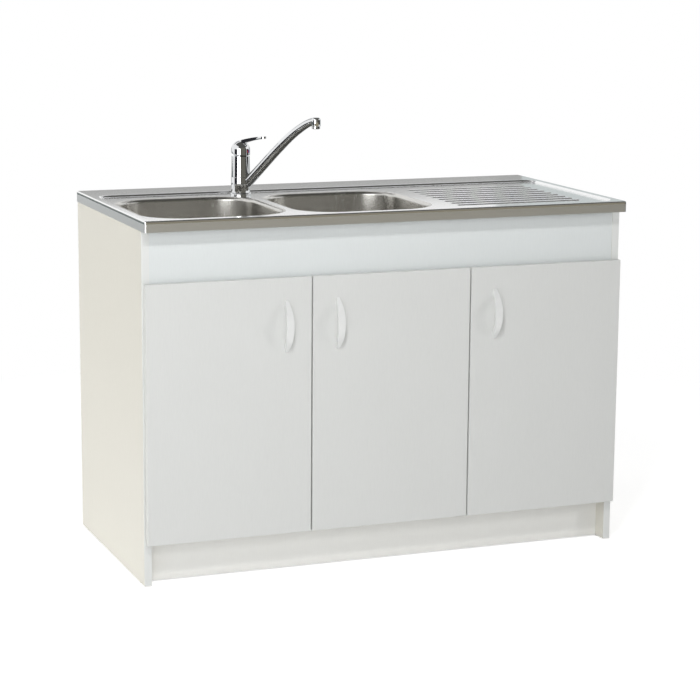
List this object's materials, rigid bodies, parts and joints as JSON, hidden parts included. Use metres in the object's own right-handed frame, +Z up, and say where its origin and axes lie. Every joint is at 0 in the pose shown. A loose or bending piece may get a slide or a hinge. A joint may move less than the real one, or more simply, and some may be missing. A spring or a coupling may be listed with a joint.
{
  "type": "sink base cabinet",
  "caption": "White kitchen sink base cabinet with hinged doors, bow handles, a lay-on stainless steel sink with bowls and ribbed drainer, and a chrome lever mixer tap.",
  "frame": {"origin": "on the floor, midway across the width and midway between the handles' fronts and the sink's back edge", "axes": "+Z up, +X to the right seen from the front, +Y towards the wall behind; the doors face -Y"},
  "size_m": [1.2, 0.615, 1.0435],
  "materials": {
    "white_melamine": "melamine-faced chipboard, fine satin grain",
    "hardboard": "painted hardboard",
    "beech": "raw fluted beech",
    "stainless_steel": "satin brushed",
    "white_plastic": "smooth moulded",
    "black_rubber": "matt",
    "clear_bumper": "soft clear",
    "chrome_plate": "polished",
    "marker_plastic": "red and blue marker",
    "brass": "machined",
    "plated_steel": "nickel plated"
  },
  "bodies": {
    "cabinet": {"back_panel": "hardboard", "bottom_panel": "white_melamine", "cam_bolts": "plated_steel", "cam_locks": "plated_steel", "coupling_nuts": "white_plastic", "divider_hinge_arms": "plated_steel", "divider_panel": "white_melamine", "drain_pipe": "white_plastic", "floor_glides": "white_plastic", "front_fascia": "white_melamine", "hinge_plate_screws": "plated_steel", "hinge_plates": "plated_steel", "left_bowl": "stainless_steel", "left_side_panel": "white_melamine", "outlet_pipe": "white_plastic", "plinth_board": "white_melamine", "rear_top_rail": "white_melamine", "right_bowl": "stainless_steel", "right_side_panel": "white_melamine", "shelf": "white_melamine", "shelf_pins": "plated_steel", "side_hinge_arms": "plated_steel", "sink_top": "stainless_steel", "tap_base_ring": "chrome_plate", "tap_body": "chrome_plate", "tap_nut": "brass", "tap_shank": "brass", "tap_washer": "black_rubber", "trap_body": "white_plastic", "trap_cup": "white_plastic", "waste_bodies": "white_plastic", "waste_flanges": "stainless_steel", "waste_gaskets": "black_rubber", "wood_dowels": "beech"},
    "left_door_assembly": {"left_door": "white_melamine", "left_door_bumpers": "clear_bumper", "left_door_handle": "white_plastic", "left_door_handle_screws": "plated_steel", "left_door_hinge_cups": "plated_steel", "left_door_hinge_pins": "plated_steel"},
    "middle_door_assembly": {"middle_door": "white_melamine", "middle_door_bumpers": "clear_bumper", "middle_door_handle": "white_plastic", "middle_door_handle_screws": "plated_steel", "middle_door_hinge_cups": "plated_steel", "middle_door_hinge_pins": "plated_steel"},
    "right_door_assembly": {"right_door": "white_melamine", "right_door_bumpers": "clear_bumper", "right_door_handle": "white_plastic", "right_door_handle_screws": "plated_steel", "right_door_hinge_cups": "plated_steel", "right_door_hinge_pins": "plated_steel"},
    "spout_assembly": {"tap_spout": "chrome_plate", "tap_aerator": "chrome_plate"},
    "cartridge_stem": {"tap_cartridge": "brass"},
    "lever_assembly": {"tap_lever": "chrome_plate", "tap_lever_plug": "marker_plastic"},
    "left_basket_assembly": {"left_basket": "stainless_steel"},
    "right_basket_assembly": {"right_basket": "stainless_steel"}
  },
  "joints": [
    {"name": "left_door_swing", "type": "hinge", "parent": "cabinet", "child": "left_door_assembly", "pos_m": [-0.5865, -0.273, 0.4045], "axis": [0, 0, -1], "range_deg": [0, 95]},
    {"name": "middle_door_swing", "type": "hinge", "parent": "cabinet", "child": "middle_door_assembly", "pos_m": [0.18867, -0.273, 0.4045], "axis": [0, 0, 1], "range_deg": [0, 95]},
    {"name": "right_door_swing", "type": "hinge", "parent": "cabinet", "child": "right_door_assembly", "pos_m": [0.5865, -0.273, 0.4045], "axis": [0, 0, 1], "range_deg": [0, 95]},
    {"name": "spout_swivel", "type": "hinge", "parent": "cabinet", "child": "spout_assembly", "pos_m": [-0.23004, 0.1445, 0.87], "axis": [0, 0, 1], "range_deg": [-132, 46]},
    {"name": "lever_turn", "type": "hinge", "parent": "cabinet", "child": "cartridge_stem", "pos_m": [-0.23004, 0.1445, 0.935], "axis": [0, 0, 1], "range_deg": [-45, 45]},
    {"name": "lever_lift", "type": "hinge", "parent": "cartridge_stem", "child": "lever_assembly", "pos_m": [-0.23004, 0.1445, 0.953], "axis": [-0.8192, -0.5736, 0], "range_deg": [0, 20]},
    {"name": "left_basket_lift", "type": "slide", "parent": "cabinet", "child": "left_basket_assembly", "axis": [0, 0, 1], "range_m": [0, 0.18]},
    {"name": "right_basket_lift", "type": "slide", "parent": "cabinet", "child": "right_basket_assembly", "axis": [0, 0, 1], "range_m": [0, 0.18]}
  ]
}
